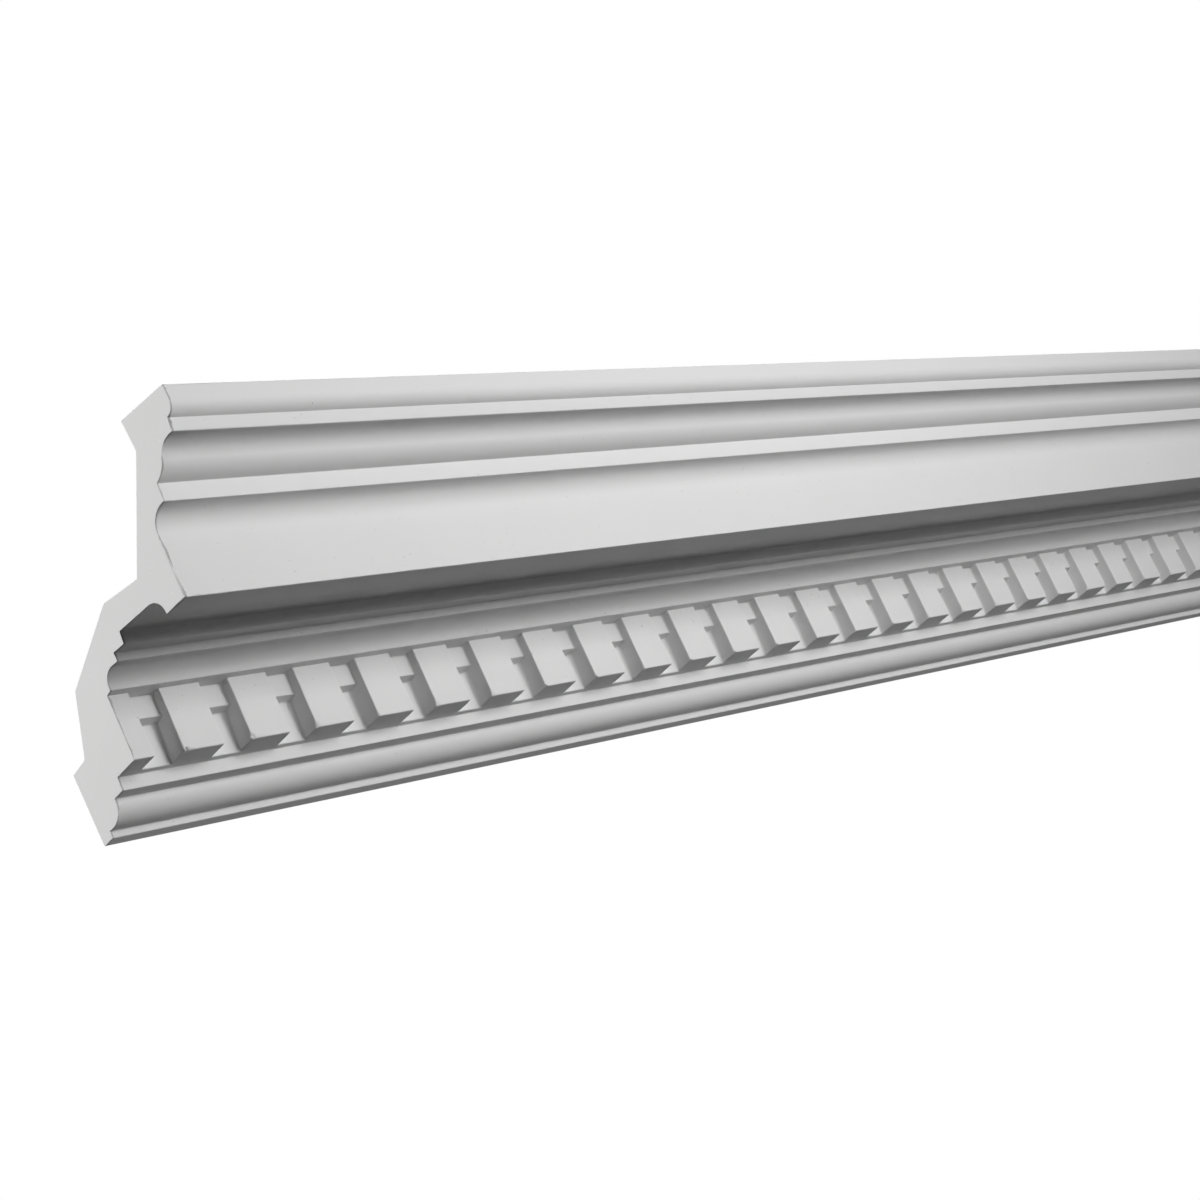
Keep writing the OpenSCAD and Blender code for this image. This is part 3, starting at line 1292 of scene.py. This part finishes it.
@dataclass
class CorniceLength:
    """The whole casting: bays of dentils along the length and a square cut at each end."""

    size: Lengths
    skin: Finish = PRIMED_SKIN
    sawn: Finish = SAWN_FOAM

    def wears(self) -> list[BayWear]:
        """How the bays came out: the first ones in order, then the kinds that the rest draw from.

        Returns:
            One wear for each kind of bay.
        """
        foot = CorniceProfile(self.size).dentil_low.up
        pit = Flaw(14.0 * MM, foot + 0.2 * MM, 1.7 * MM, -5.0 * MM)
        lump = Flaw(15.4 * MM, foot + 0.2 * MM, 1.5 * MM, 1.6 * MM)
        worn = Flaw(15.6 * MM, foot, 4.2 * MM, -2.2 * MM)
        soft = BayWear(right_fillet=2.4 * MM, left_fillet=2.0 * MM)
        soft = replace(soft, right_blunt=1.4 * MM, right_flare=1.5 * MM)
        return [
            BayWear(flaws=(pit, replace(lump, depth=1.0 * MM))),
            BayWear(left_blunt=1.2 * MM, flaws=(worn, replace(lump, depth=2.4 * MM))),
            BayWear(left_blunt=1.2 * MM, flaws=(replace(worn, depth=-1.2 * MM),)),
            replace(soft, left_blunt=1.6 * MM, flaws=(replace(lump, depth=0.7 * MM),)),
            replace(soft, flaws=(replace(worn, depth=-1.0 * MM),)),
            replace(soft, left_fillet=1.5 * MM, flaws=(lump,)),
            replace(soft, right_blunt=2.4 * MM, right_flare=2.0 * MM),
        ]

    def build(self) -> bpy.types.Object:
        """Builds the moulding as one closed mesh.

        Returns:
            The finished object, at the origin.
        """
        groups = FoamGroups()
        half = self.size.length / 2
        skin, sawn = self.skin.material(groups, half), self.sawn.material(groups, half)
        profile = CorniceProfile(self.size)
        bay = DentilBay(profile)
        nosing_low, corona_foot = profile.nosing_low, profile.corona_foot
        chips = (
            Chip(nosing_low.out, nosing_low.up, 3.5 * MM, 1.3 * MM),
            Chip(corona_foot.out, corona_foot.up, 2.5 * MM, 1.2 * MM),
        )
        ends = CutEnds(bay, half, chips=chips)
        bays = round(self.size.length / bay.pitch)
        kinds = bpy.data.collections.new("bay_kinds")
        for i, wear in enumerate(self.wears()):
            mesh = bay.mesh(f"bay_{i}", wear)
            mesh.materials.append(skin)
            kinds.objects.link(bpy.data.objects.new(f"bay_{i}", mesh))
        run = BayRun(bays, bay.pitch, half, ends.trim)
        tree, ids = run.tree()
        values = run.values(kinds, skin, sawn)
        source = bpy.data.objects.new("cornice_source", ends.mesh())
        source.data.materials.append(sawn)
        bpy.context.scene.collection.objects.link(source)
        modifier = source.modifiers.new("bay_run", "NODES")
        modifier.node_group = tree
        for name, value in values.items():
            modifier[ids[name]] = value
        source.modifiers.new("face_weights", "WEIGHTED_NORMAL")
        graph = bpy.context.evaluated_depsgraph_get()
        mesh = bpy.data.meshes.new_from_object(
            source.evaluated_get(graph), preserve_all_data_layers=True, depsgraph=graph
        )
        mesh.name = PIECE
        piece = bpy.data.objects.new(PIECE, mesh)
        bpy.context.scene.collection.objects.link(piece)
        bpy.data.objects.remove(source)
        for kind in list(kinds.objects):
            bpy.data.objects.remove(kind)
        bpy.data.collections.remove(kinds)
        report_mesh(piece)
        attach(piece, "root")
        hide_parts(NODE)
        return piece


def report_mesh(piece: bpy.types.Object) -> None:
    """Logs a piece's size and whether its mesh is closed and faces outward.

    Args:
        piece: the finished piece.
    """
    check = bmesh.new()
    check.from_mesh(piece.data)
    open_edges = sum(1 for edge in check.edges if not edge.is_manifold)
    triangles = sum(len(face.verts) - 2 for face in check.faces)
    volume = check.calc_volume(signed=True)
    check.free()
    words = "%s: %d triangles, %d open edges, %.4f litres"
    LOG.info(words, piece.name, triangles, open_edges, volume * 1000)


# ---------------------------------------------------------------------------
# Studio
# ---------------------------------------------------------------------------


@dataclass(frozen=True)
class SoftLight:
    """A soft panel light.

    Attributes:
        name: name of the light.
        place: where it stands.
        power: its power in watts.
        aim: the point that it faces.
        width: size of its square panel.
    """

    name: str
    place: tuple[float, float, float]
    power: float
    aim: tuple[float, float, float] = (-0.15, -0.1, 0.07)
    width: float = 0.7

    def build(self) -> bpy.types.Object:
        """Adds the light to the scene.

        Returns:
            The light.
        """
        data = bpy.data.lights.new(self.name, "AREA")
        data.shape = "SQUARE"
        data.size = self.width
        data.energy = self.power
        light = bpy.data.objects.new(self.name, data)
        light.visible_camera = False
        light.location = self.place
        facing = Vector(self.aim) - Vector(self.place)
        light.rotation_euler = facing.to_track_quat("-Z", "Y").to_euler()
        bpy.context.scene.collection.objects.link(light)
        return light


LIGHTS = (
    SoftLight("key_near", (-0.3, -1.5, 0.3), 8.3, aim=(-0.3, 0.0, 0.07), width=0.6),
    SoftLight("key_middle", (0.3, -1.5, 0.3), 1.9, aim=(0.3, 0.0, 0.07), width=0.6),
    SoftLight("key_far", (0.9, -1.5, 0.3), 1.2, aim=(0.9, 0.0, 0.07), width=0.6),
    SoftLight("front_low_near", (-0.3, -1.5, 0.0), 0.9, aim=(-0.3, 0.0, 0.07), width=0.6),
    SoftLight("front", (-0.15, -2.7, 0.07), 9.2),
    SoftLight("front_high", (-0.15, -2.611, 0.743), 6.6),
    SoftLight("front_right", (0.949, -2.456, 0.07), 5.4),
    SoftLight("low_right", (1.258, -1.282, -1.768), 2.5),
    SoftLight("below", (-0.15, 0.573, -2.441), 2.5),
    SoftLight("below_back", (-0.15, 1.738, -1.768), 4.3),
    SoftLight("back", (-0.15, 2.343, -0.819), 22.0),
    SoftLight("left", (-2.643, 0.627, 0.822), 41.7, aim=(-0.7, -0.08, 0.07), width=0.5),
    SoftLight("right_end", (2.793, 0.289, 0.639), 24.0, aim=(0.7, -0.08, 0.07)),
    SoftLight("over_back", (0.0, 1.2, 2.322), 26.0, aim=(0.0, -0.1, 0.07), width=1.2),
)


@dataclass(frozen=True)
class Floor:
    """A plain pale floor, which throws little light back on the moulding."""

    height: float = -2.3
    radius: float = 5.0
    sides: int = 96
    tone: float = 0.12

    def material(self) -> bpy.types.Material:
        """Builds the floor's finish: white to look at, dim to the light it receives.

        Returns:
            The material.
        """
        made = bpy.data.materials.new("pale_floor")
        tree = Tree.of(made)
        dim = tree.node("ShaderNodeBsdfDiffuse", {"Color": (self.tone, self.tone, self.tone, 1.0)})
        mixed = tree.white_to_camera("ShaderNodeEmission", dim.outputs[0])
        tree.node("ShaderNodeOutputMaterial", {"Surface": mixed})
        return made

    def build(self) -> bpy.types.Object:
        """Adds the floor to the scene.

        Returns:
            The floor.
        """
        turns = [2 * math.pi * i / self.sides for i in range(self.sides)]
        verts = [(self.radius * math.cos(a), self.radius * math.sin(a), self.height) for a in turns]
        mesh = bpy.data.meshes.new("floor")
        mesh.from_pydata(verts, [], [tuple(range(self.sides))])
        mesh.materials.append(self.material())
        floor = bpy.data.objects.new("floor", mesh)
        bpy.context.scene.collection.objects.link(floor)
        return floor


@dataclass(frozen=True)
class Studio:
    """Pale floor, white surround, soft lights and the camera."""

    lens: float = 84.46
    eye: tuple[float, float, float] = (-1.79282, -1.13251, -0.38903)
    heading: tuple[float, float, float] = (0.79608, 0.55859, 0.23288)
    right: tuple[float, float, float] = (0.59912, -0.67307, -0.43362)

    def camera(self) -> bpy.types.Object:
        """Adds the camera.

        Returns:
            The camera.
        """
        data = bpy.data.cameras.new("camera")
        data.lens = self.lens
        data.sensor_width = 36.0
        data.clip_start = 0.05
        data.clip_end = 60.0
        camera = bpy.data.objects.new("camera", data)
        back = -Vector(self.heading).normalized()
        right = Vector(self.right)
        right = (right - back * right.dot(back)).normalized()
        above = back.cross(right)
        turn = Matrix((right, above, back)).transposed()
        camera.matrix_world = Matrix.Translation(self.eye) @ turn.to_4x4()
        bpy.context.scene.collection.objects.link(camera)
        bpy.context.scene.camera = camera
        return camera

    def surround(self) -> None:
        """Sets the surround: white to look at, and no light of its own."""
        world = bpy.data.worlds.new("surround")
        bpy.context.scene.world = world
        tree = Tree.of(world)
        dark = tree.node("ShaderNodeBackground", {"Color": WHITE, "Strength": 0.0})
        mixed = tree.white_to_camera("ShaderNodeBackground", dark.outputs[0])
        tree.node("ShaderNodeOutputWorld", {"Surface": mixed})

    def build(self) -> None:
        """Builds the whole studio."""
        Floor().build()
        self.camera()
        self.surround()
        for light in LIGHTS:
            light.build()
        bpy.context.scene.view_settings.view_transform = "Standard"


def main() -> None:
    """Builds the moulding and the studio, and reports each piece."""
    logging.basicConfig(level=logging.INFO, format="%(message)s")
    piece = CorniceLength(Lengths.of_frame()).build()
    LOG.info("piece %s: %d faces", piece.name, len(piece.data.polygons))
    Studio().build()


if __name__ == "__main__":
    main()
